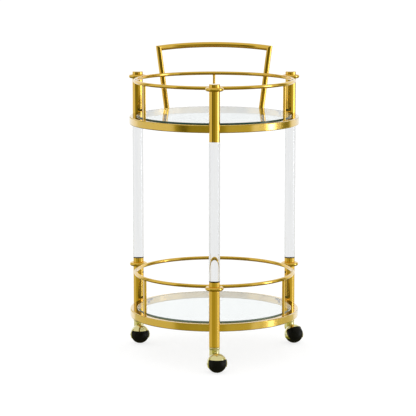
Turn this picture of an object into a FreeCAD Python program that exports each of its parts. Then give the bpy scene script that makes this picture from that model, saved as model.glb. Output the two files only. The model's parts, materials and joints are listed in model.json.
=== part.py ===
"""Round two-tier bar cart: glass shelves in square-tube rings, three part-acrylic posts, hooded ball casters.

Millimetres, +Z up. The origin is on the floor, under the centre of the cart's bounding box.
The front post stands towards -Y and the push handle towards +Y.
"""

import FreeCAD, Part
import math
import os
import sys

import Sketcher

Vector = FreeCAD.Vector
Rotation = FreeCAD.Rotation
Placement = FreeCAD.Placement
UP = Vector(0, 0, 1)

SIZES = {
    # the tiers' common axis, measured from the origin
    "axis_x": -6.9,
    "axis_y": 18.6,
    # posts
    "post_circle": 236.0,
    "tube_radius": 14.0,
    "tube_wall": 1.5,
    "rod_radius": 14.25,
    "spigot_radius": 12.45,
    "spigot_length": 50.0,
    "lower_tube_bottom": 62.7,
    "lower_tube_top": 231.0,
    "upper_tube_bottom": 590.0,
    "upper_tube_top": 732.6,
    "cap_height": 3.0,
    "cap_plug_depth": 8.0,
    "cap_round": 1.4,
    # rings and shelves
    "ring_outer": 223.0,
    "ring_side": 20.0,
    "ring_wall": 1.5,
    "ring_round": 2.2,
    "scallop_radius": 14.05,
    "lower_ring_bottom": 98.5,
    "top_ring_bottom": 610.0,
    "glass_radius": 202.0,
    "glass_thick": 5.0,
    "glass_bevel": 0.7,
    "lower_glass_top": 121.6,
    "top_glass_top": 633.1,
    "tab_width": 22.0,
    "tab_reach": 13.0,
    "tab_thick": 2.0,
    "tab_gap": 0.05,
    "pad_radius": 5.0,
    "pad_thick": 1.0,
    # gallery rails
    "rail_radius": 207.8,
    "rail_wire": 4.75,
    "weld_gap": 0.02,
    "lower_rail_height": 214.0,
    "top_rail_height": 722.6,
    "eyelet_radius": 19.0,
    "pin_radius": 3.5,
    # push handle
    "handle_tube": 7.4,
    "handle_bore": 6.2,
    "handle_foot_x": 127.8,
    "handle_foot_radius": 213.0,
    "handle_corner_x": 149.2,
    "handle_corner_radius": 239.0,
    "handle_corner_height": 792.0,
    "handle_crown_radius": 239.0,
    "handle_crown_height": 797.6,
    # fasteners
    "bolt_radius": 2.5,
    "bolt_head_radius": 4.4,
    "bolt_head_height": 2.8,
    "bolt_access_radius": 5.5,
    "bolt_hole_radius": 2.6,
    "bolt_tip": 8.0,
    "grub_radius": 3.2,
    "grub_hole_radius": 3.25,
    "grub_length": 4.4,
    "grub_height": 192.0,
    "grub_socket": 1.7,
    "grub_socket_depth": 2.4,
    "grub_setback": 0.4,
    "plug_radius": 12.45,
    "plug_height": 26.0,
    # casters
    "ball_radius": 24.6,
    "tread_half_width": 22.3,
    "hub_radius": 9.0,
    "hub_half_width": 23.2,
    "hub_fit": 0.03,
    "axle_radius": 2.0,
    "axle_half_length": 26.6,
    "running_fit": 0.06,
    "hood_outer": 26.2,
    "hood_inner": 25.1,
    "hood_skirt": 10.0,
    "mouth_back": 6.0,
    "mouth_height": 12.0,
    "mouth_round": 6.0,
    "caster_trail": 24.0,
    "boss_radius": 13.5,
    "boss_bottom": 41.0,
    "boss_top": 56.2,
    "stem_radius": 4.0,
    "stem_bottom": 47.0,
    "stem_top": 92.0,
    "stem_groove": 0.6,
    "stem_groove_bottom": 8.0,
    "stem_groove_top": 5.0,
    "stem_lead": 1.0,
    "socket_radius": 12.4,
    "socket_top": 88.0,
    "socket_neck": 8.0,
    "collar_radius": 14.5,
    "collar_bottom": 57.0,
    "collar_height": 4.4,
    "collar_round": 1.8,
}

POSTS = {"front": -90.0, "right": 30.0, "left": 150.0}
PINS = {"right": -30.0, "left": -150.0, "back": 90.0}
# each caster's trail direction, and how far its hood's mouth is tipped back about the axle
CASTERS = {"front": (-74.3, 0.0), "right": (-60.0, 33.0), "left": (-81.1, 0.0)}

doc = FreeCAD.newDocument("bar_cart")
sheet = doc.addObject("Spreadsheet::Sheet", "sheet")
for row, (alias, value) in enumerate(SIZES.items(), start=1):
    sheet.set(f"A{row}", alias)
    sheet.set(f"B{row}", str(value))
    sheet.setAlias(f"B{row}", alias)
doc.recompute()

nodes = []


def size(alias):
    """A driving dimension, read back from the sheet."""
    return float(getattr(sheet, alias))


def at(radius, angle, height):
    """A point at this radius and angle about the tiers' axis."""
    turn = math.radians(angle)
    return Vector(
        size("axis_x") + radius * math.cos(turn), size("axis_y") + radius * math.sin(turn), height
    )


def facing(angle):
    return Rotation(UP, angle)


def bind(thing, **sizes):
    for name, formula in sizes.items():
        thing.setExpression(name, formula)


def node(thing, label, placement=None):
    """Keeps a finished piece as a node of its own."""
    thing.Label = label
    if placement is not None:
        thing.Placement = placement
    nodes.append(thing)
    return thing


def primitive(kind, name, placement=None, **sizes):
    thing = doc.addObject(f"Part::{kind}", name)
    bind(thing, **sizes)
    if placement is not None:
        thing.Placement = placement
    return thing


def cut(name, base, *tools):
    """The base less each tool, as a chain of Part cuts."""
    for index, tool in enumerate(tools):
        step = doc.addObject("Part::Cut", f"{name}_cut_{index}")
        step.Base = base
        step.Tool = tool
        base = step
    return base


def fuse(name, base, tool):
    step = doc.addObject("Part::Fuse", f"{name}_fuse")
    step.Base = base
    step.Tool = tool
    return step


def origin_feature(body, role):
    return next(feature for feature in body.Origin.OriginFeatures if feature.Role == role)


def sketch_on(body, name, plane):
    sketch = body.newObject("Sketcher::SketchObject", name)
    sketch.AttachmentSupport = (origin_feature(body, plane), "")
    sketch.MapMode = "FlatFace"
    return sketch


def add_outline(sketch, corners):
    """A closed run of lines whose corners are formulas in the sheet's sizes."""
    first = sketch.GeometryCount
    points = [
        Vector(float(sketch.evalExpression(x)), float(sketch.evalExpression(y)), 0) for x, y in corners
    ]
    count = len(points)
    for index, point in enumerate(points):
        sketch.addGeometry(Part.LineSegment(point, points[(index + 1) % count]), False)
    for index in range(count):
        following = first + (index + 1) % count
        sketch.addConstraint(Sketcher.Constraint("Coincident", first + index, 2, following, 1))
    for index, (point, formulas) in enumerate(zip(points, corners)):
        for kind, value, formula in zip(("DistanceX", "DistanceY"), point, formulas):
            place = sketch.addConstraint(Sketcher.Constraint(kind, -1, 1, first + index, 1, value))
            sketch.setExpression(f"Constraints[{place}]", formula)


def add_circle(sketch, x, y, radius):
    centre = Vector(float(sketch.evalExpression(x)), float(sketch.evalExpression(y)), 0)
    index = sketch.addGeometry(Part.Circle(centre, UP, float(sketch.evalExpression(radius))), False)
    across = sketch.addConstraint(Sketcher.Constraint("DistanceX", -1, 1, index, 3, centre.x))
    sketch.setExpression(f"Constraints[{across}]", x)
    along = sketch.addConstraint(Sketcher.Constraint("DistanceY", -1, 1, index, 3, centre.y))
    sketch.setExpression(f"Constraints[{along}]", y)
    wide = sketch.addConstraint(Sketcher.Constraint("Radius", index, 1.0))
    sketch.setExpression(f"Constraints[{wide}]", radius)


def turned(name, *outlines):
    """A body turned about its own Z axis from (radius, height) outlines."""
    body = doc.addObject("PartDesign::Body", name)
    sketch = sketch_on(body, f"{name}_section", "XZ_Plane")
    for outline in outlines:
        add_outline(sketch, outline)
    solid = body.newObject("PartDesign::Revolution", f"{name}_turning")
    solid.Profile = sketch
    solid.ReferenceAxis = (sketch, ["V_Axis"])
    solid.Angle = 360
    return body


def edge_names(shape, radii, heights):
    """The circular edges about Z that have one of these radii and heights."""
    found = []
    for index, edge in enumerate(shape.Edges, start=1):
        curve = edge.Curve
        round_z = isinstance(curve, Part.Circle) and abs(abs(curve.Axis.z) - 1) < 1e-6
        if round_z and any(abs(curve.Radius - r) < 1e-4 for r in radii):
            if any(abs(curve.Center.z - z) < 1e-4 for z in heights):
                found.append(f"Edge{index}")
    return found


def soften(body, kind, alias, radii, heights):
    """Rounds or bevels the circular edges found at these radii and heights."""
    doc.recompute()
    base = body.Tip
    edges = edge_names(base.Shape, radii, heights)
    if not edges:
        sys.exit(f"{body.Name} has no edge to soften")
    feature = body.newObject(f"PartDesign::{kind}", f"{body.Name}_{kind.lower()}")
    feature.Base = (base, edges)
    feature.setExpression("Radius" if kind == "Fillet" else "Size", f"sheet.{alias}")
    return feature


def drill(body, name, height, radius, reach):
    """A round pocket along +X from the body's axis, at this height and as far as reach."""
    sketch = sketch_on(body, f"{name}_outline", "YZ_Plane")
    add_circle(sketch, "0", height, radius)
    pocket = body.newObject("PartDesign::Pocket", name)
    pocket.Profile = sketch
    pocket.Reversed = True
    pocket.setExpression("Length", reach)
    return pocket


def three_of(label, source, places):
    """One node that holds the same small piece at each place, as separate solids."""
    links = []
    for index, place in enumerate(places):
        link = doc.addObject("App::Link", f"{label}_{index}")
        link.LinkedObject = source
        link.Placement = place
        links.append(link)
    group = doc.addObject("Part::Compound", f"{label}_set")
    group.Links = links
    return node(group, label)


def post_places(height=0.0):
    """The three posts' axes, each with its local +X towards the cart's axis."""
    return [
        Placement(at(size("post_circle"), angle, height), facing(angle + 180))
        for angle in POSTS.values()
    ]


def ring(tier):
    """Square-tube ring, open at three bolt holes and scalloped where the posts nest into it."""
    inner = "sheet.ring_outer - sheet.ring_side"
    outline = [(inner, "0"), ("sheet.ring_outer", "0")]
    outline += [("sheet.ring_outer", "sheet.ring_side"), (inner, "sheet.ring_side")]
    hollow_in, hollow_out = f"{inner} + sheet.ring_wall", "sheet.ring_outer - sheet.ring_wall"
    hollow_top = "sheet.ring_side - sheet.ring_wall"
    hollow = [(hollow_in, "sheet.ring_wall"), (hollow_out, "sheet.ring_wall")]
    hollow += [(hollow_out, hollow_top), (hollow_in, hollow_top)]
    body = turned(f"{tier}_ring", outline, hollow)
    inner_radius = size("ring_outer") - size("ring_side")
    soften(body, "Fillet", "ring_round", (size("ring_outer"), inner_radius), (0, size("ring_side")))
    sketch = sketch_on(body, f"{tier}_scallop_outline", "XY_Plane")
    add_circle(sketch, "sheet.post_circle", "0", "sheet.scallop_radius")
    scallop = body.newObject("PartDesign::Pocket", f"{tier}_scallop")
    scallop.Profile = sketch
    scallop.Reversed = True
    scallop.setExpression("Length", "sheet.ring_side")
    middle = "sheet.ring_side / 2"
    access = drill(
        body, f"{tier}_bolt_access", middle, "sheet.bolt_access_radius", f"{inner} + sheet.ring_side / 2"
    )
    hole = drill(body, f"{tier}_bolt_hole", middle, "sheet.bolt_hole_radius", "sheet.ring_outer")
    doc.recompute()
    before = hole.Shape.Volume
    pattern = body.newObject("PartDesign::PolarPattern", f"{tier}_pattern")
    pattern.Originals = [scallop, access, hole]
    pattern.Axis = (origin_feature(body, "Z_Axis"), [""])
    pattern.Angle = 360
    pattern.Occurrences = len(POSTS)
    body.Tip = pattern
    doc.recompute()
    if pattern.Shape.Volume >= before:
        sys.exit(f"the pattern cuts nothing on {tier}_ring")
    node(body, f"{tier}_ring", Placement(at(0, 0, size(f"{tier}_ring_bottom")), facing(-90)))


def shelf(tier):
    """Clear glass disc with bevelled edges, on three tabs with clear pads."""
    body = doc.addObject("PartDesign::Body", f"{tier}_glass_body")
    sketch = sketch_on(body, f"{tier}_glass_outline", "XY_Plane")
    add_circle(sketch, "0", "0", "sheet.glass_radius")
    pad = body.newObject("PartDesign::Pad", f"{tier}_glass_pad")
    pad.Profile = sketch
    pad.setExpression("Length", "sheet.glass_thick")
    soften(body, "Chamfer", "glass_bevel", (size("glass_radius"),), (0, size("glass_thick")))
    bottom = size(f"{tier}_glass_top") - size("glass_thick")
    node(body, f"{tier}_glass", Placement(at(0, 0, bottom), facing(0)))

    tab = doc.addObject("PartDesign::Body", f"{tier}_tab_body")
    sketch = sketch_on(tab, f"{tier}_tab_outline", "XY_Plane")
    half = "sheet.tab_width / 2"
    corners = [("0", f"-{half}"), ("sheet.tab_reach", f"-{half}")]
    corners += [("sheet.tab_reach", half), ("0", half)]
    add_outline(sketch, corners)
    plate = tab.newObject("PartDesign::Pad", f"{tier}_tab_plate")
    plate.Profile = sketch
    plate.setExpression("Length", "sheet.tab_thick")
    tab_top = bottom - size("pad_thick")
    # the flat end of a tab stops where its corners meet the ring's round inner face
    wall = size("ring_outer") - size("ring_side")
    tab_end = math.sqrt(wall**2 - (size("tab_width") / 2) ** 2) - size("tab_gap")
    places = [
        Placement(at(tab_end, angle, tab_top - size("tab_thick")), facing(angle + 180))
        for angle in POSTS.values()
    ]
    three_of(f"{tier}_glass_tabs", tab, places)

    pad_form = primitive("Cylinder", f"{tier}_pad_form", Radius="sheet.pad_radius", Height="sheet.pad_thick")
    pad_centre = tab_end - size("tab_reach") / 2
    places = [Placement(at(pad_centre, angle, tab_top), facing(angle)) for angle in POSTS.values()]
    three_of(f"{tier}_glass_pads", pad_form, places)


def rail(tier):
    """Round-wire hoop on three pins, with an eyelet welded on for each post."""
    height = size(f"{tier}_rail_height")
    hoop_place = Placement(at(0, 0, height), facing(0))
    hoop = primitive(
        "Torus", f"{tier}_hoop", hoop_place, Radius1="sheet.rail_radius", Radius2="sheet.rail_wire"
    )
    node(hoop, f"{tier}_rail_hoop")
    weld_wire = "sheet.rail_wire + sheet.weld_gap"
    ring_top = size(f"{tier}_ring_bottom") + size("ring_side")
    for side, angle in PINS.items():
        name = f"{tier}_rail_pin_{side}"
        shank = primitive(
            "Cylinder", f"{name}_shank", Placement(at(size("rail_radius"), angle, ring_top), facing(0)),
            Radius="sheet.pin_radius",
            Height=f"sheet.{tier}_rail_height - sheet.{tier}_ring_bottom - sheet.ring_side",
        )
        seat = primitive(
            "Torus", f"{name}_seat", hoop_place, Radius1="sheet.rail_radius", Radius2=weld_wire
        )
        node(cut(name, shank, seat), name)
    for side, angle in POSTS.items():
        name = f"{tier}_eyelet_{side}"
        loop = primitive(
            "Torus", f"{name}_loop", Placement(at(size("post_circle"), angle, height), facing(0)),
            Radius1="sheet.eyelet_radius", Radius2="sheet.rail_wire",
        )
        seat = primitive(
            "Torus", f"{name}_seat", hoop_place, Radius1="sheet.rail_radius", Radius2=weld_wire
        )
        node(cut(name, loop, seat), name)


def tube(name, bottom, top, holes):
    """Round post tube from its bottom height to its top height, with radial holes facing the cart's axis."""
    bore = "sheet.tube_radius - sheet.tube_wall"
    length = f"sheet.{top} - sheet.{bottom}"
    outline = [(bore, "0"), ("sheet.tube_radius", "0"), ("sheet.tube_radius", length), (bore, length)]
    body = turned(name, outline)
    for index, (height, radius) in enumerate(holes):
        drill(body, f"{name}_hole_{index}", f"{height} - sheet.{bottom}", radius, "sheet.tube_radius")
    return body


def posts():
    """Three posts: lower tube, clear rod with a spigot in each tube, upper tube and cap."""
    top_bolt = "sheet.top_ring_bottom + sheet.ring_side / 2"
    lower_bolt = "sheet.lower_ring_bottom + sheet.ring_side / 2"
    rod_bottom = "sheet.lower_tube_top - sheet.spigot_length"
    shoulder = "sheet.spigot_length"
    rod_end = "sheet.upper_tube_bottom - sheet.lower_tube_top + sheet.spigot_length"
    rod_outline = [
        ("0", "0"), ("sheet.spigot_radius", "0"), ("sheet.spigot_radius", shoulder),
        ("sheet.rod_radius", shoulder), ("sheet.rod_radius", rod_end),
        ("sheet.spigot_radius", rod_end), ("sheet.spigot_radius", f"{rod_end} + sheet.spigot_length"),
        ("0", f"{rod_end} + sheet.spigot_length"),
    ]
    cap_outline = [
        ("0", "-sheet.cap_plug_depth"), ("sheet.plug_radius", "-sheet.cap_plug_depth"),
        ("sheet.plug_radius", "0"), ("sheet.tube_radius", "0"),
        ("sheet.tube_radius", "sheet.cap_height"), ("0", "sheet.cap_height"),
    ]
    for side, angle in POSTS.items():
        inwards = facing(angle + 180)
        lower = tube(
            f"lower_tube_{side}_body", "lower_tube_bottom", "lower_tube_top",
            [(lower_bolt, "sheet.bolt_hole_radius"), ("sheet.grub_height", "sheet.grub_hole_radius")],
        )
        place = at(size("post_circle"), angle, size("lower_tube_bottom"))
        node(lower, f"lower_tube_{side}", Placement(place, inwards))
        upper = tube(
            f"upper_tube_{side}_body", "upper_tube_bottom", "upper_tube_top",
            [(top_bolt, "sheet.bolt_hole_radius")],
        )
        place = at(size("post_circle"), angle, size("upper_tube_bottom"))
        node(upper, f"upper_tube_{side}", Placement(place, inwards))
        rod = turned(f"acrylic_rod_{side}_body", rod_outline)
        drill(
            rod, f"rod_{side}_grub_seat", f"sheet.grub_height - ({rod_bottom})",
            "sheet.grub_hole_radius", "sheet.spigot_radius",
        )
        drill(
            rod, f"rod_{side}_bolt_seat", f"{top_bolt} - ({rod_bottom})",
            "sheet.bolt_hole_radius", "sheet.spigot_radius",
        )
        place = at(size("post_circle"), angle, size("lower_tube_top") - size("spigot_length"))
        node(rod, f"acrylic_rod_{side}", Placement(place, inwards))
        cap = turned(f"top_cap_{side}_body", cap_outline)
        soften(cap, "Fillet", "cap_round", (size("tube_radius"),), (size("cap_height"),))
        place = at(size("post_circle"), angle, size("upper_tube_top"))
        node(cap, f"top_cap_{side}", Placement(place, inwards))


def fasteners():
    """Grub screws that hold the clear rods, ring bolts, and the plugs that take the lower bolts."""
    along_x = Rotation(Vector(0, 1, 0), 90)
    shank = primitive("Cylinder", "grub_shank", Radius="sheet.grub_radius", Height="sheet.grub_length")
    socket = primitive(
        "Prism", "grub_socket", Circumradius="sheet.grub_socket", Height="sheet.grub_socket_depth"
    )
    grub = cut("grub_screw", shank, socket)
    # the socket's open end faces the cart's axis, flush with the tube
    flush = size("post_circle") - size("tube_radius") + size("grub_setback")
    places = [
        Placement(at(flush, angle, size("grub_height")), facing(angle) * along_x)
        for angle in POSTS.values()
    ]
    three_of("rod_grub_screws", grub, places)

    head = "sheet.bolt_head_height"
    reach = "sheet.ring_wall + sheet.tube_wall + sheet.bolt_tip"
    bolt_outline = [
        ("0", f"-{head}"), ("sheet.bolt_head_radius", f"-{head}"), ("sheet.bolt_head_radius", "0"),
        ("sheet.bolt_radius", "0"), ("sheet.bolt_radius", reach), ("0", reach),
    ]
    for tier in ("top", "lower"):
        bolt = turned(f"{tier}_bolt_body", bolt_outline)
        # a flat head bears on the ring's round wall along its edges
        wall = size("ring_outer") - size("ring_wall")
        seat = math.sqrt(wall**2 - size("bolt_head_radius") ** 2) - size("weld_gap")
        height = size(f"{tier}_ring_bottom") + size("ring_side") / 2
        places = [Placement(at(seat, angle, height), facing(angle) * along_x) for angle in POSTS.values()]
        three_of(f"{tier}_ring_bolts", bolt, places)

    plug_outline = [
        ("0", "0"), ("sheet.plug_radius", "0"), ("sheet.plug_radius", "sheet.plug_height"),
        ("0", "sheet.plug_height"),
    ]
    plug = turned("nut_plug_body", plug_outline)
    drill(plug, "nut_plug_thread", "sheet.plug_height / 2", "sheet.bolt_hole_radius", "sheet.plug_radius")
    bottom = size("lower_ring_bottom") + size("ring_side") / 2 - size("plug_height") / 2
    three_of("post_nut_plugs", plug, post_places(bottom))


def half_space(point, normal, reach):
    """A large block that fills everything on the normal's side of a plane."""
    block = Part.makeBox(2 * reach, 2 * reach, 2 * reach, Vector(-reach, -reach, 0))
    block.Placement = Placement(point, Rotation(UP, normal))
    return block


def pipe(wire, radius):
    start = wire.Edges[0]
    tangent = start.tangentAt(start.FirstParameter)
    profile = Part.Wire([Part.makeCircle(radius, start.valueAt(start.FirstParameter), tangent)])
    return wire.makePipeShell([profile], True, True)


def handle():
    """Push handle: two leaning uprights mitred to a curved grip. Mitred hollow tubes along spatial runs."""
    tube_radius, bore = size("handle_tube"), size("handle_bore")
    overrun = 4 * tube_radius
    ring_top = size("top_ring_bottom") + size("ring_side")

    def across(x, radius, height):
        return Vector(size("axis_x") + x, size("axis_y") + math.sqrt(radius**2 - x**2), height)

    foot_x, corner_x = size("handle_foot_x"), size("handle_corner_x")
    foot = {s: across(s * foot_x, size("handle_foot_radius"), ring_top) for s in (-1, 1)}
    corner = {
        s: across(s * corner_x, size("handle_corner_radius"), size("handle_corner_height"))
        for s in (-1, 1)
    }
    crown = across(0, size("handle_crown_radius"), size("handle_crown_height"))
    arc = Part.Arc(corner[-1], crown, corner[1]).toShape()
    inward = {-1: arc.tangentAt(arc.FirstParameter), 1: arc.tangentAt(arc.LastParameter) * -1}
    run_in = Part.makeLine(corner[-1] - inward[-1] * overrun, corner[-1])
    run_out = Part.makeLine(corner[1], corner[1] - inward[1] * overrun)
    path = Part.Wire([run_in, arc, run_out])
    grip = pipe(path, tube_radius).cut(pipe(path, bore))
    below = half_space(Vector(0, 0, ring_top), Vector(0, 0, -1), overrun * 40)
    for s, side in ((-1, "left"), (1, "right")):
        rise = (corner[s] - foot[s]).normalize()
        mitre = (inward[s] + rise).normalize()
        grip = grip.cut(half_space(corner[s], mitre * -1, overrun * 2))
        start = foot[s] - rise * overrun
        length = (corner[s] - start).Length + overrun
        upright = Part.makeCylinder(tube_radius, length, start, rise)
        upright = upright.cut(Part.makeCylinder(bore, length, start, rise))
        upright = upright.cut(half_space(corner[s], mitre, overrun * 2)).cut(below)
        piece = doc.addObject("Part::Feature", f"handle_upright_{side}_piece")
        piece.Shape = upright
        node(piece, f"handle_upright_{side}")
    piece = doc.addObject("Part::Feature", "handle_grip_piece")
    piece.Shape = grip
    node(piece, "handle_grip")


def caster_seats():
    """Sockets pressed into the post bottoms and the collars below them."""
    bore = "sheet.stem_radius + sheet.running_fit"
    neck = "sheet.lower_tube_bottom - sheet.collar_bottom"
    top = "sheet.socket_top - sheet.collar_bottom"
    outline = [
        (bore, "0"), ("sheet.socket_neck", "0"), ("sheet.socket_neck", neck),
        ("sheet.socket_radius", neck), ("sheet.socket_radius", top), (bore, top),
    ]
    socket = turned("caster_socket_body", outline)
    places = post_places(size("collar_bottom"))
    three_of("caster_sockets", socket, places)
    inner = "sheet.socket_neck + sheet.hub_fit"
    outline = [
        (inner, "0"), ("sheet.collar_radius", "0"), ("sheet.collar_radius", "sheet.collar_height"),
        (inner, "sheet.collar_height"),
    ]
    collar = turned("caster_collar_body", outline)
    soften(collar, "Fillet", "collar_round", (size("collar_radius"),), (0, size("collar_height")))
    three_of("caster_collars", collar, places)


def caster(side):
    """Hooded ball caster: its ball trails the stem, and the hood's boss stands under the post."""
    post, (heading, tip_back) = POSTS[side], CASTERS[side]
    stem_foot = at(size("post_circle"), post, 0)
    turn = facing(heading)
    trail, ball = size("caster_trail"), size("ball_radius")
    centre = stem_foot + turn.multVec(Vector(trail, 0, 0)) + UP * ball
    sideways = turn * Rotation(Vector(1, 0, 0), 90)

    def local(x, y, z, rotation=Rotation()):
        return Placement(centre + turn.multVec(Vector(x, y, z)), turn * rotation)

    name = f"caster_{side}_hood"
    shell = primitive("Sphere", f"{name}_shell", local(0, 0, 0), Radius="sheet.hood_outer")
    boss = primitive(
        "Cylinder", f"{name}_boss", local(-trail, 0, size("boss_bottom") - ball),
        Radius="sheet.boss_radius", Height="sheet.boss_top - sheet.boss_bottom",
    )
    boss_foot = primitive(
        "Sphere", f"{name}_boss_foot", local(-trail, 0, size("boss_bottom") - ball),
        Radius="sheet.boss_radius",
    )
    cavity = primitive("Sphere", f"{name}_cavity", local(0, 0, 0), Radius="sheet.hood_inner")
    span = "sheet.hood_outer * 3"
    reach = 3 * size("hood_outer")
    skirt = primitive(
        "Box", f"{name}_skirt", local(-reach / 2, -reach / 2, -size("hood_skirt") - reach),
        Length=span, Width=span, Height=span,
    )
    mouth_box = primitive("Box", f"{name}_mouth_box", Length=span, Width=span, Height=span)
    mouth = doc.addObject("Part::Fillet", f"{name}_mouth")
    mouth.Base = mouth_box
    doc.recompute()
    corner_edges = [
        index
        for index, edge in enumerate(mouth_box.Shape.Edges, start=1)
        if edge.CenterOfMass.x < 1e-6 and edge.CenterOfMass.z > reach - 1e-6
    ]
    mouth.Edges = [(index, size("mouth_round"), size("mouth_round")) for index in corner_edges]
    tip = Rotation(Vector(0, 1, 0), -tip_back)
    offset = tip.multVec(Vector(size("mouth_back"), -reach / 2, size("mouth_height") - reach))
    mouth.Placement = local(*offset, tip)
    stem_hole = primitive(
        "Cylinder", f"{name}_stem_hole", local(-trail, 0, size("stem_bottom") - ball - 1),
        Radius="sheet.stem_radius + sheet.hub_fit", Height="sheet.boss_top",
    )
    axle_hole = primitive(
        "Cylinder", f"{name}_axle_hole",
        Placement(centre + turn.multVec(Vector(0, reach / 2, 0)), sideways),
        Radius="sheet.axle_radius + sheet.hub_fit", Height=span,
    )
    body = fuse(name, fuse(f"{name}_dome", shell, boss_foot), boss)
    node(cut(name, body, cavity, skirt, mouth, stem_hole, axle_hole), name)

    stem_length = "sheet.stem_top - sheet.stem_bottom"
    neck = "sheet.stem_radius - sheet.stem_groove"
    groove_bottom = f"{stem_length} - sheet.stem_groove_bottom"
    groove_top = f"{stem_length} - sheet.stem_groove_top"
    stem_outline = [
        ("0", "0"), ("sheet.stem_radius", "0"), ("sheet.stem_radius", groove_bottom),
        (neck, groove_bottom), (neck, groove_top), ("sheet.stem_radius", groove_top),
        ("sheet.stem_radius", f"{stem_length} - sheet.stem_lead"), (neck, stem_length), ("0", stem_length),
    ]
    stem = turned(f"caster_{side}_stem_body", stem_outline)
    stem_place = Placement(stem_foot + UP * size("stem_bottom"), turn)
    node(stem, f"caster_{side}_stem", stem_place)

    axle_outline = [
        ("0", "-sheet.axle_half_length"), ("sheet.axle_radius", "-sheet.axle_half_length"),
        ("sheet.axle_radius", "sheet.axle_half_length"), ("0", "sheet.axle_half_length"),
    ]
    axle_place = Placement(centre, sideways)
    node(turned(f"caster_{side}_axle_body", axle_outline), f"caster_{side}_axle", axle_place)

    bore = "sheet.axle_radius + sheet.running_fit"
    hub_outline = [
        (bore, "-sheet.hub_half_width"), ("sheet.hub_radius", "-sheet.hub_half_width"),
        ("sheet.hub_radius", "sheet.hub_half_width"), (bore, "sheet.hub_half_width"),
    ]
    node(turned(f"wheel_{side}_hub_body", hub_outline), f"wheel_{side}_hub", axle_place)

    name = f"wheel_{side}_tread"
    ball_form = primitive("Sphere", f"{name}_ball", axle_place, Radius="sheet.ball_radius")
    wide = size("tread_half_width")
    flats = [
        primitive(
            "Cylinder", f"{name}_flat_{index}", Placement(centre + turn.multVec(Vector(0, y, 0)), sideways),
            Radius="sheet.ball_radius", Height="sheet.ball_radius",
        )
        for index, y in enumerate((-wide, wide + size("ball_radius")))
    ]
    bore_form = primitive(
        "Cylinder", f"{name}_bore", Placement(centre + turn.multVec(Vector(0, reach / 2, 0)), sideways),
        Radius="sheet.hub_radius + sheet.hub_fit", Height=span,
    )
    node(cut(name, ball_form, *flats, bore_form), name)


def check_and_write():
    """Stops on any failed object or bad shape, then writes one STEP file per node."""
    doc.recompute()
    failed = [o.Name for o in doc.Objects if "Invalid" in o.State or "Error" in o.State]
    bad = [n.Label for n in nodes if n.Shape.isNull() or not n.Shape.isValid() or not n.Shape.Solids]
    labels = [n.Label for n in nodes]
    if failed or bad or len(set(labels)) != len(labels):
        sys.exit(f"failed objects {failed}, bad shapes {bad}")
    os.makedirs("parts", exist_ok=True)
    for piece in nodes:
        piece.Shape.exportStep(f"parts/{piece.Label}.step")
    bounds = FreeCAD.BoundBox()
    for piece in nodes:
        bounds.add(piece.Shape.BoundBox)
    print(len(nodes), "nodes", bounds)


for tier_name in ("lower", "top"):
    ring(tier_name)
    shelf(tier_name)
    rail(tier_name)
posts()
fasteners()
handle()
caster_seats()
for caster_side in CASTERS:
    caster(caster_side)
check_and_write()
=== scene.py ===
import json
import math

import bmesh
import bpy
import numpy as np
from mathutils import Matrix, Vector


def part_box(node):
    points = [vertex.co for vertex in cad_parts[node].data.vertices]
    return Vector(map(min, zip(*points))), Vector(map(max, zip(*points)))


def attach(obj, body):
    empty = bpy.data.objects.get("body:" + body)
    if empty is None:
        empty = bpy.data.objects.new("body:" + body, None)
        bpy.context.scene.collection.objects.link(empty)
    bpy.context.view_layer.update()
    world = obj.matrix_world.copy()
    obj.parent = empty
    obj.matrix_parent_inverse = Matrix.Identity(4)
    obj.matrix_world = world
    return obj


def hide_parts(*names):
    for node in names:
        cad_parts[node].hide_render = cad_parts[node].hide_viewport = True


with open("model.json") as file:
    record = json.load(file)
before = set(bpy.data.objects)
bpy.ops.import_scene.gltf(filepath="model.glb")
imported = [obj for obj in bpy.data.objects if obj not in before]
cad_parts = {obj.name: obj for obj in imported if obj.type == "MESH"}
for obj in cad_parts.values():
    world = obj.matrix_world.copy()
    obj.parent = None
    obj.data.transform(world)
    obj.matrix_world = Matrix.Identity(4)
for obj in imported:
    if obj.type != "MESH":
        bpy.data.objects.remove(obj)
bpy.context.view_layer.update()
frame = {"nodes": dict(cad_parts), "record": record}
nodes = frame["nodes"]

TAU = 2 * math.pi
DEGREES = 180 / math.pi
MM = 0.001

# a colour Mix node's sockets, which come after its number and vector ones
MIX_FACTOR, MIX_FIRST, MIX_SECOND, MIX_RESULT = 0, 6, 7, 2


# ---------------------------------------------------------------- shader helpers


class Signal:
    """One node socket whose value is a number. Arithmetic on it adds Math nodes."""

    def __init__(self, finish, socket):
        self.finish = finish
        self.socket = socket

    def math(self, operation, *values):
        sockets = dict(enumerate(values))
        return self.finish.add("ShaderNodeMath", {"operation": operation}, sockets)

    def __add__(self, other):
        return self.math("ADD", self, other)

    def __sub__(self, other):
        return self.math("SUBTRACT", self, other)

    def __rsub__(self, other):
        return self.math("SUBTRACT", other, self)

    def __mul__(self, other):
        return self.math("MULTIPLY", self, other)

    def __pow__(self, other):
        return self.math("POWER", self, other)

    __radd__ = __add__
    __rmul__ = __mul__

    def above(self, edge, width):
        """0 well under the edge and 1 well over it, with a smooth step as wide as width."""
        sockets = {"Value": self, "From Min": edge - width / 2, "From Max": edge + width / 2}
        settings = {"interpolation_type": "SMOOTHSTEP"}
        return self.finish.add("ShaderNodeMapRange", settings, sockets, "Result")

    def distance(self, centre):
        """How far this is from centre, without its sign."""
        return self.math("ABSOLUTE", self - centre)

    def ramp(self, low, high):
        """low where this is 0, high where it is 1, and in between by its value."""
        return low + (high - low) * self


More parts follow.
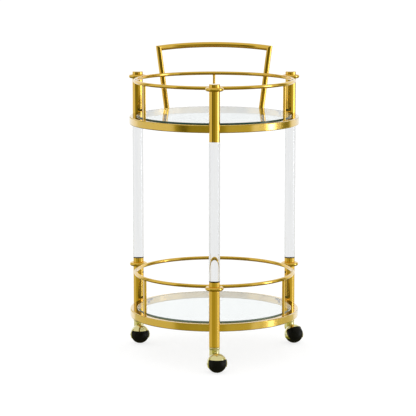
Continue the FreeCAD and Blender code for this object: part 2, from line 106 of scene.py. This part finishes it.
class Finish:
    """A node tree under construction: a material's, or the world's."""

    def __init__(self, tree):
        self.tree = tree
        self.tree.nodes.clear()

    def add(self, kind, settings=None, sockets=None, out=0):
        """A node of this type: its settings first, then its sockets' values or links. Gives one output,
        or nothing where the node has none."""
        made = self.tree.nodes.new(kind)
        for name, value in (settings or {}).items():
            setattr(made, name, value)
        for name, value in (sockets or {}).items():
            if isinstance(value, Signal):
                self.tree.links.new(value.socket, made.inputs[name])
            else:
                made.inputs[name].default_value = value
        return Signal(self, made.outputs[out]) if made.outputs else None

    def place(self):
        """Where the surface point is, in metres, in the model's frame."""
        return self.add("ShaderNodeTexCoord", out="Object")

    def mapped(self, scale, shift=(0, 0, 0)):
        """The surface point after this scale, then moved by this shift."""
        return self.add(
            "ShaderNodeMapping", sockets={"Vector": self.place(), "Scale": scale, "Location": shift}
        )

    def split(self, vector):
        """A vector's three numbers."""
        first = self.add("ShaderNodeSeparateXYZ", sockets={0: vector})
        return [Signal(self, socket) for socket in first.socket.node.outputs]

    def reflected(self):
        """1 for a ray that has met a polished or clear surface, 0 for what is seen or lit directly."""
        return self.add("ShaderNodeLightPath", out="Glossy Depth").above(0.5, 0.2)

    def noise(self, vector, scale, detail=2.0, roughness=0.5):
        sockets = {"Vector": vector, "Scale": scale, "Detail": detail, "Roughness": roughness}
        return self.add("ShaderNodeTexNoise", sockets=sockets)

    def blend(self, factor, first, second):
        """A colour between two, by factor."""
        sockets = {MIX_FACTOR: factor, MIX_FIRST: first, MIX_SECOND: second}
        return self.add("ShaderNodeMix", {"data_type": "RGBA"}, sockets, MIX_RESULT)

    def bump(self, height, strength, distance):
        sockets = {"Height": height, "Strength": strength, "Distance": distance}
        return self.add("ShaderNodeBump", sockets=sockets)

    def finish_with(self, shader, output="ShaderNodeOutputMaterial"):
        """Close the tree with this shader."""
        self.add(output, sockets={"Surface": shader})


def material(name, recipe, **options):
    """A named material whose nodes the recipe adds."""
    made = bpy.data.materials.new(name)
    made.use_nodes = True
    finish = Finish(made.node_tree)
    finish.finish_with(recipe(finish, **options))
    return made


def rgb(red, green, blue):
    """A colour in linear values, opaque."""
    return (red, green, blue, 1.0)


# ---------------------------------------------------------------- finishes


def plated(finish, light, deep, polish=0.05, haze=0.08, peel=0.05, lacquer=0.0):
    """Plated and polished metal: slow tint drift, wiping haze in the roughness, faint orange peel."""
    drift = finish.noise(finish.place(), 9.0, 3.0)
    wipes = finish.noise(finish.mapped((1.0, 1.0, 0.25)), 60.0, 4.0, 0.6)
    grain = finish.noise(finish.place(), 900.0, 2.0)
    sockets = {
        "Base Color": finish.blend(drift.above(0.5, 0.5), light, deep),
        "Metallic": 1.0,
        "Roughness": polish + haze * wipes.above(0.55, 0.5),
        "Normal": finish.bump(grain, peel, 0.0002),
        "Coat Weight": lacquer,
        "Coat Roughness": 0.03,
    }
    return finish.add("ShaderNodeBsdfPrincipled", sockets=sockets)


def clear_rod(finish):
    """Cast acrylic rod: clear, with faint draw lines along its length."""
    lines = finish.noise(finish.mapped((1.0, 1.0, 0.02)), 420.0, 2.0)
    sockets = {
        "Base Color": finish.blend(lines.above(0.5, 0.6), rgb(0.838, 0.845, 0.856), rgb(0.79, 0.80, 0.815)),
        "Transmission Weight": 1.0,
        "IOR": 1.49,
        "Roughness": 0.012 + 0.02 * lines.above(0.6, 0.3),
        "Normal": finish.bump(lines, 0.04, 0.0002),
    }
    return finish.add("ShaderNodeBsdfPrincipled", sockets=sockets)


def shelf_glass(finish, centre, radius, edge_light, edge_deep):
    """Float glass: clear through its faces, dark green where light runs along it at the ground edge."""
    x, y, _ = finish.split(finish.mapped((1, 1, 1), (-centre[0], -centre[1], 0)))
    reach = (x * x + y * y) ** 0.5
    band = 0.2 * MM
    rim = reach.above(radius - band, band)
    smear = finish.noise(finish.place(), 14.0, 4.0, 0.6)
    face = finish.add(
        "ShaderNodeBsdfPrincipled",
        sockets={
            "Base Color": rgb(0.965, 0.985, 0.975),
            "Transmission Weight": 1.0,
            "IOR": 1.52,
            "Roughness": 0.004 + 0.012 * smear.above(0.6, 0.3),
        },
    )
    grind = finish.noise(finish.place(), 1500.0, 2.0)
    edge = finish.add(
        "ShaderNodeBsdfPrincipled",
        sockets={
            "Base Color": finish.blend(grind.above(0.5, 0.5), edge_deep, edge_light),
            "Roughness": 0.18,
            "IOR": 1.52,
            "Normal": finish.bump(grind, 0.15, 0.0002),
        },
    )
    return finish.add("ShaderNodeMixShader", sockets={0: rim, 1: face, 2: edge})


def moulded(finish, light, deep, roughness, grain_scale, grain_depth, sheen=0.5, spread=0.08):
    """Moulded rubber or plastic: fine grain, slightly uneven sheen."""
    mottling = finish.noise(finish.place(), 120.0, 3.0)
    grain = finish.noise(finish.place(), grain_scale, 3.0, 0.6)
    sockets = {
        "Base Color": finish.blend(mottling.above(0.5, 0.6), light, deep),
        "Roughness": roughness + spread * mottling.above(0.5, 0.5),
        "Specular IOR Level": sheen,
        "Normal": finish.bump(grain, 0.35, grain_depth),
    }
    return finish.add("ShaderNodeBsdfPrincipled", sockets=sockets)


def soft_pad(finish):
    """Clear silicone pad, a little cloudy."""
    cloud = finish.noise(finish.place(), 500.0, 3.0)
    sockets = {
        "Base Color": finish.blend(cloud, rgb(0.86, 0.87, 0.87), rgb(0.72, 0.74, 0.74)),
        "Transmission Weight": 0.7,
        "Roughness": 0.25 + 0.15 * cloud,
        "IOR": 1.41,
    }
    return finish.add("ShaderNodeBsdfPrincipled", sockets=sockets)


ring_low, ring_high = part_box("top_ring")
axis = ((ring_low.x + ring_high.x) / 2, (ring_low.y + ring_high.y) / 2)
glass_low, glass_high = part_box("top_glass")
glass_radius = (glass_high.x - glass_low.x) / 2

GOLD = material(
    "polished_gold", plated, light=rgb(0.90, 0.58, 0.11), deep=rgb(0.84, 0.53, 0.09), lacquer=0.55
)
SATIN_GOLD = material(
    "satin_gold", plated, light=rgb(0.90, 0.60, 0.14), deep=rgb(0.85, 0.56, 0.11), polish=0.15, haze=0.06,
    lacquer=1.0,
)
PALE_GOLD = material(
    "pale_gold", plated, light=rgb(0.90, 0.84, 0.56), deep=rgb(0.86, 0.78, 0.48), polish=0.06, haze=0.05,
    lacquer=0.5,
)
ACRYLIC = material("clear_acrylic", clear_rod)
TOP_GLASS = material(
    "top_shelf_glass", shelf_glass, centre=axis, radius=glass_radius,
    edge_light=rgb(0.03, 0.10, 0.09), edge_deep=rgb(0.012, 0.055, 0.055),
)
# the same float glass as the top shelf, with its ground edge painted paler: a painted highlight on the lower
# edge in place of the light it catches
LOWER_GLASS_PAINTED_LIT_EDGE = material(
    "lower_shelf_glass_painted_lit_edge", shelf_glass, centre=axis, radius=glass_radius,
    edge_light=rgb(0.22, 0.30, 0.26), edge_deep=rgb(0.14, 0.22, 0.19),
)
RUBBER = material(
    "wheel_rubber", moulded, light=rgb(0.0012, 0.0012, 0.0014), deep=rgb(0.003, 0.003, 0.0033),
    roughness=0.42, grain_scale=1100.0, grain_depth=0.0004, sheen=0.16,
)
HUB = material(
    "hub_plastic", moulded, light=rgb(0.03, 0.03, 0.032), deep=rgb(0.045, 0.045, 0.048),
    roughness=0.35, grain_scale=2500.0, grain_depth=0.0001,
)
PAD = material("clear_pad", soft_pad)
BLACK_STEEL = material(
    "black_steel", plated, light=rgb(0.03, 0.03, 0.033), deep=rgb(0.018, 0.018, 0.02), polish=0.3, haze=0.15
)
ZINC = material(
    "zinc_steel", plated, light=rgb(0.62, 0.64, 0.66), deep=rgb(0.52, 0.54, 0.57), polish=0.25, haze=0.2
)

SLOT_FINISH = {
    "gold": GOLD, "pale_gold": PALE_GOLD, "acrylic": ACRYLIC, "glass": TOP_GLASS, "clear_pad": PAD,
    "rubber": RUBBER, "hub_plastic": HUB, "black_steel": BLACK_STEEL, "zinc_steel": ZINC,
}


def dress(name, finish):
    """Give a CAD piece this finish and no other."""
    slots = nodes[name].data.materials
    slots.clear()
    slots.append(finish)


for part in frame["record"]["subparts"]:
    dress(part["node"], SLOT_FINISH[part["material_slot"]])
for name in ("top_ring", "lower_ring"):
    dress(name, SATIN_GOLD)
dress("lower_glass", LOWER_GLASS_PAINTED_LIT_EDGE)


# ---------------------------------------------------------------- surfaces


def grid_faces(rows, columns, closed_rows, closed_columns):
    """Quads between neighbouring points of a grid, carried round where the grid closes on itself."""
    row = np.arange(rows if closed_rows else rows - 1)
    column = np.arange(columns if closed_columns else columns - 1)
    r, c = np.meshgrid(row, column, indexing="ij")
    next_r, next_c = (r + 1) % rows, (c + 1) % columns
    corners = (r * columns + c, next_r * columns + c, next_r * columns + next_c, r * columns + next_c)
    return np.stack(corners, axis=-1).reshape(-1, 4)


def turned(profile, centre, along=(0, 0, 1), segments=64):
    """Surface of revolution: at angle a a profile point (r, h) stands h along the axis from the centre
    and r from the axis, in the direction u cos a + v sin a, with u and v square to the axis."""
    profile = np.asarray(profile, float)
    along = np.asarray(along, float) / np.linalg.norm(along)
    lean = np.array((0, 0, 1.0)) if abs(along[2]) < 0.9 else np.array((1.0, 0, 0))
    u = np.cross(lean, along)
    u /= np.linalg.norm(u)
    v = np.cross(along, u)
    angle = np.linspace(0, TAU, segments, endpoint=False)[:, None, None]
    radius, height = profile[None, :, :1], profile[None, :, 1:]
    points = np.asarray(centre, float) + height * along + radius * (u * np.cos(angle) + v * np.sin(angle))
    return points, True, False


def bead(centre, across, outwards, sizes, rows=24, columns=32):
    """Ellipsoid: centre + a sin p cos q + b sin p sin q + c cos p, with p from pole to pole and q round."""
    across, outwards = np.asarray(across, float), np.asarray(outwards, float)
    upwards = np.cross(outwards, across)
    p = np.linspace(0, math.pi, rows)[:, None, None]
    q = np.linspace(0, TAU, columns, endpoint=False)[None, :, None]
    a, b, c = sizes
    points = (
        np.asarray(centre, float) + a * np.sin(p) * np.cos(q) * across
        + b * np.sin(p) * np.sin(q) * outwards + c * np.cos(p) * upwards
    )
    return points, False, True


def piece(name, grids, finish, slot, body, *replaced):
    """One smooth piece made of grids of points, its poles merged and its faces turned outwards."""
    points, faces, start = [], [], 0
    for grid, closed_rows, closed_columns in grids:
        rows, columns = grid.shape[:2]
        points.append(grid.reshape(-1, 3))
        faces.append(grid_faces(rows, columns, closed_rows, closed_columns) + start)
        start += rows * columns
    mesh = bpy.data.meshes.new(name)
    mesh.from_pydata(np.concatenate(points).tolist(), [], np.concatenate(faces).tolist())
    shape = bmesh.new()
    shape.from_mesh(mesh)
    bmesh.ops.remove_doubles(shape, verts=shape.verts, dist=1e-6)
    bmesh.ops.recalc_face_normals(shape, faces=shape.faces)
    shape.to_mesh(mesh)
    shape.free()
    mesh.shade_smooth()
    mesh.materials.append(finish)
    made = bpy.data.objects.new(name, mesh)
    bpy.context.scene.collection.objects.link(made)
    if replaced:
        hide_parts(*replaced)
    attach(made, body)
    return made


def arc(centre, radius, start, end, count):
    """Points (r, h) along a circular arc, by angle in degrees from the r direction."""
    angle = np.radians(np.linspace(start, end, count))
    return np.stack((centre[0] + radius * np.cos(angle), centre[1] + radius * np.sin(angle)), axis=1)


# ---------------------------------------------------------------- welds, rivets and treads

# radii of the stock, and how far a weld runs on inside the piece it joins
HANDLE_TUBE = 7.4 * MM
PIN_WIRE = 3.5 * MM
RAIL_WIRE = 4.75 * MM
BURIED = 0.3 * MM

# fillet widths, and how far under the hoop's middle a pin's head weld starts
PIN_FOOT_WELD = 1.6 * MM
PIN_HEAD_WELD = 1.3 * MM
PIN_HEAD_DROP = RAIL_WIRE + 0.9 * MM
HANDLE_WELD = 2.0 * MM

# the eyelets' seams on the hoop: half sizes (along it, outwards, up), bite into it, rise from its middle
SEAM_SIZES = (5.0 * MM, 1.5 * MM, 1.4 * MM)
SEAM_BITE = 0.1 * MM
SEAM_RISE = 1.5 * MM

# rivet heads: distance from the ball's middle, the crown's radius, how deep its centre lies, the angle of
# its rim, and the skirt under it
RIVET_REACH = 25.9 * MM
RIVET_CROWN = 5.2 * MM
RIVET_CROWN_SUNK = 4.2 * MM
RIVET_RIM = 55
RIVET_SKIRT = 0.5 * MM

# the ball: its radius over the mould line, half width and bore, and how far in from its edge each flat
# has one more loop, which keeps the shading of the flat off the dome
BALL_RADIUS = 24.6 * MM
BALL_HALF_WIDTH = 22.3 * MM
BALL_BORE = 7.1 * MM
BALL_EDGE_LOOP = 0.7 * MM

# mould line and grooves: height or depth, and half width and place in degrees from the ball's middle
LINE_HEIGHT = 0.14 * MM
LINE_WIDTH = 0.55
GROOVE_DEPTH = 0.35 * MM
GROOVE_WIDTH = 1.6
GROOVE_PLACE = 52


def middle(name):
    """The middle of a CAD piece's box."""
    low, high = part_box(name)
    return np.array([(low.x + high.x) / 2, (low.y + high.y) / 2, (low.z + high.z) / 2])


def foot_weld(centre, wire, width):
    """Concave fillet round an upright on a flat: a quarter circle from the flat in to the wire."""
    curve = arc((wire + width, width), width, 270, 180, 9)
    inside = [(wire - BURIED, width), (wire - BURIED, -BURIED), (wire + width, -BURIED)]
    return turned([*curve, *inside, curve[0]], centre)


def head_weld(centre, wire, width, drop):
    """Concave fillet under a hoop: a quarter circle from the pin out into the hoop's round."""
    curve = arc((wire + width, -drop), width, 180, 90, 9)
    inside = [(wire - BURIED, width - drop), (wire - BURIED, -drop)]
    return turned([*curve, *inside, curve[0]], centre)


def tier_welds(tier):
    """Pin feet and heads, and the seam where each eyelet's wire touches the hoop."""
    ring_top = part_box(f"{tier}_ring")[1].z
    hoop = middle(f"{tier}_rail_hoop")
    hoop_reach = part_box(f"{tier}_rail_hoop")[1].x - hoop[0]
    welds = []
    for side in ("back", "left", "right"):
        x, y, _ = middle(f"{tier}_rail_pin_{side}")
        welds.append(foot_weld((x, y, ring_top), PIN_WIRE, PIN_FOOT_WELD))
        welds.append(head_weld((x, y, hoop[2]), PIN_WIRE, PIN_HEAD_WELD, PIN_HEAD_DROP))
    for side in ("front", "left", "right"):
        post = middle(f"acrylic_rod_{side}") - hoop
        outwards = np.array([post[0], post[1], 0]) / math.hypot(post[0], post[1])
        across = np.array([-outwards[1], outwards[0], 0])
        seam = hoop + outwards * (hoop_reach - SEAM_BITE)
        for way in (-1, 1):
            lift = np.array((0, 0, way * SEAM_RISE))
            welds.append(bead(seam + lift, across, outwards, SEAM_SIZES))
    piece(f"{tier}_rail_welds", welds, GOLD, "gold", "cart_frame")


def handle_welds():
    """Fillets where the handle's two uprights stand on the top ring."""
    ring_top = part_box("top_ring")[1].z
    welds = []
    for side, way in (("left", 1), ("right", -1)):
        low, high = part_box(f"handle_upright_{side}")
        inner = high.x if way > 0 else low.x
        centre = (inner - way * HANDLE_TUBE, low.y + HANDLE_TUBE, ring_top)
        welds.append(foot_weld(centre, HANDLE_TUBE, HANDLE_WELD))
    piece("handle_welds", welds, GOLD, "gold", "cart_frame")


def axle_line(side):
    """A ball's centre and its axle's direction, from the wheel's roll joint."""
    joint = next(j for j in frame["record"]["behaviour"]["joints"] if j["name"] == f"wheel_{side}_roll")
    return middle(f"wheel_{side}_tread"), np.array(joint["axis"], float)


def axle_rivets(side):
    """Domed heads closing both ends of the axle outside the hood."""
    centre, along = axle_line(side)
    crown = arc((0, -RIVET_CROWN_SUNK), RIVET_CROWN, 90, RIVET_RIM, 9)
    dome = [*crown, (crown[-1, 0], -RIVET_SKIRT), (0, -RIVET_SKIRT)]
    heads = [turned(dome, centre + way * along * RIVET_REACH, way * along, 32) for way in (-1, 1)]
    piece(f"caster_{side}_rivets", heads, ZINC, "zinc_steel", f"caster_{side}")


def ball_tread(side):
    """Rubber ball: a sphere's arc between two flats, with a thin mould line round its middle and a
    shallow groove near each flat. The line's top is at the ball's full radius."""
    centre, along = axle_line(side)
    reach = math.degrees(math.asin(BALL_HALF_WIDTH / BALL_RADIUS))
    angle = np.linspace(-reach, reach, 181)
    line = np.exp(-((angle / LINE_WIDTH) ** 2))
    groove = np.exp(-(((np.abs(angle) - GROOVE_PLACE) / GROOVE_WIDTH) ** 2))
    skin = BALL_RADIUS - LINE_HEIGHT * (1 - line) - GROOVE_DEPTH * groove
    bend = np.radians(angle)
    dome = np.stack((skin * np.cos(bend), skin * np.sin(bend)), axis=1)
    flat_left = [(BALL_BORE, dome[0, 1]), (dome[0, 0] - BALL_EDGE_LOOP, dome[0, 1])]
    flat_right = [(dome[-1, 0] - BALL_EDGE_LOOP, dome[-1, 1]), (BALL_BORE, dome[-1, 1])]
    profile = [*flat_left, *dome, *flat_right, flat_left[0]]
    ball = turned(profile, centre, along, 160)
    piece(f"wheel_{side}_ball", [ball], RUBBER, "rubber", f"wheel_{side}", f"wheel_{side}_tread")


for tier in ("top", "lower"):
    tier_welds(tier)
handle_welds()
for side in ("front", "right", "left"):
    axle_rivets(side)
    ball_tread(side)


# ---------------------------------------------------------------- studio


FLOOR_REACH = 40.0
FLOOR_PALE = rgb(0.93, 0.93, 0.93)
FLOOR_WORN = rgb(0.915, 0.915, 0.915)
FLOOR_GLOW = 1.12
FLOOR_GLOW_SHARE = 0.68
FLOOR_SHADE = rgb(1, 0.95, 0.6)
FLOOR_SHADE_GLOW = 0.2


def studio_floor():
    """A wide pale floor, part lit and part glowing like a light table, so that shadows stay soft. It is
    hidden from reflections, and dim where one sees it through glass."""
    reach = FLOOR_REACH
    corners = [(-reach, -reach, 0), (reach, -reach, 0), (reach, reach, 0), (-reach, reach, 0)]
    mesh = bpy.data.meshes.new("studio_floor")
    mesh.from_pydata(corners, [], [(0, 1, 2, 3)])
    floor = bpy.data.objects.new("studio_floor", mesh)
    bpy.context.scene.collection.objects.link(floor)

    def paint(finish):
        mottle = finish.noise(finish.place(), 1.5, 2.0)
        colour = finish.blend(mottle.above(0.5, 0.5), FLOOR_PALE, FLOOR_WORN)
        lit = finish.add("ShaderNodeBsdfDiffuse", sockets={"Color": colour})
        glow = finish.add("ShaderNodeEmission", sockets={"Color": rgb(1, 1, 1), "Strength": FLOOR_GLOW})
        plain = finish.add("ShaderNodeMixShader", sockets={0: FLOOR_GLOW_SHARE, 1: lit, 2: glow})
        shade = finish.add(
            "ShaderNodeEmission", sockets={"Color": FLOOR_SHADE, "Strength": FLOOR_SHADE_GLOW}
        )
        return finish.add("ShaderNodeMixShader", sockets={0: finish.reflected(), 1: plain, 2: shade})

    mesh.materials.append(material("studio_floor", paint))
    floor.visible_glossy = False


# brightness of the white surround as it is seen directly, and of what reflections find between the panels
SURROUND = 1.06
BACKDROP = 0.95

# studio panels, each (bearing in degrees from the front, half width, brightness); a later one covers an
# earlier, and PANEL_EDGE is how softly their sides fade
UPPER_PANELS = (
    (0, 128, 0.75), (0, 55, 0.25), (35, 20, 0.5), (-42, 6, 0.05), (58, 6, 0.9), (83, 6, 6.0), (113, 10, 0.2),
)
LOWER_PANELS = (
    (0, 140, 0.65), (0, 55, 0.42), (35, 20, 0.5), (58, 6, 0.75), (84, 5, 1.8),
)
ROOM_PANELS = (
    (0, 128, 0.7), (0, 56, 0.12), (83, 6, 4.0), (-115, 8, 0.16), (113, 10, 0.14),
)
PANEL_EDGE = 6
CEILING = 0.72
UNDERSIDE = 0.16

# where one tier of the studio gives way to the next: (degrees above level, degrees it takes)
UPPER_EDGE = (-9, 3)
ROOM_EDGE = (3, 8)
CEILING_EDGE = (28, 24)
UNDERSIDE_EDGE = (-24, 16)

# the colour of dim and of bright reflections, and the (brightness, range) where one turns into the other
DIM_TINT = rgb(1.0, 0.94, 0.16)
BRIGHT_TINT = rgb(1.0, 1.03, 1.06)
TINT_TURN = (0.65, 0.7)


def studio_light():
    """White sweep all round. Reflections see a softbox, dark flags, a grey front and a bright ceiling
    instead, warm where it is dim and very slightly cool where it is bright."""
    world = bpy.data.worlds.new("studio")
    world.use_nodes = True
    bpy.context.scene.world = world
    finish = Finish(world.node_tree)
    x, y, z = finish.split(finish.add("ShaderNodeTexCoord", out="Generated"))
    bearing = x.math("ARCTAN2", x, 0 - y) * DEGREES
    level = z.math("ARCSINE", z) * DEGREES

    def round_the_room(panels):
        seen = BACKDROP
        for centre, half_width, brightness in panels:
            inside = 1 - bearing.distance(centre).above(half_width, PANEL_EDGE)
            seen = inside.ramp(seen, brightness)
        return seen

    glow = level.above(*UPPER_EDGE).ramp(round_the_room(LOWER_PANELS), round_the_room(UPPER_PANELS))
    glow = level.above(*ROOM_EDGE).ramp(glow, round_the_room(ROOM_PANELS))
    glow = level.above(*CEILING_EDGE).ramp(glow, CEILING)
    glow = level.above(*UNDERSIDE_EDGE).ramp(UNDERSIDE, glow)
    reflected = finish.reflected()
    tint = finish.blend(glow.above(*TINT_TURN), DIM_TINT, BRIGHT_TINT)
    sockets = {
        "Color": finish.blend(reflected, rgb(1, 1, 1), tint),
        "Strength": reflected.ramp(SURROUND, glow),
    }
    shader = finish.add("ShaderNodeBackground", sockets=sockets)
    finish.finish_with(shader, "ShaderNodeOutputWorld")


# the camera's lens and sensor in millimetres, how far it sees and its place from the cart's axis and the
# floor in metres, and its tilt in degrees
LENS = 186
SENSOR = 36
CAMERA_REACH = 200
CAMERA_LEFT = 0.0164
CAMERA_FORWARD = 5.609
CAMERA_HEIGHT = 1.257
CAMERA_DOWN = 8.84


def camera():
    """Long lens, square on to the front post and tilted down from above the handle."""
    made = bpy.data.objects.new("camera", bpy.data.cameras.new("camera"))
    made.data.lens = LENS
    made.data.sensor_width = SENSOR
    made.data.clip_end = CAMERA_REACH
    made.location = (axis[0] - CAMERA_LEFT, axis[1] - CAMERA_FORWARD, CAMERA_HEIGHT)
    made.rotation_euler = (math.radians(90 - CAMERA_DOWN), 0, 0)
    bpy.context.scene.collection.objects.link(made)
    bpy.context.scene.camera = made


camera()
studio_floor()
studio_light()
bpy.context.scene.view_settings.view_transform = "Standard"
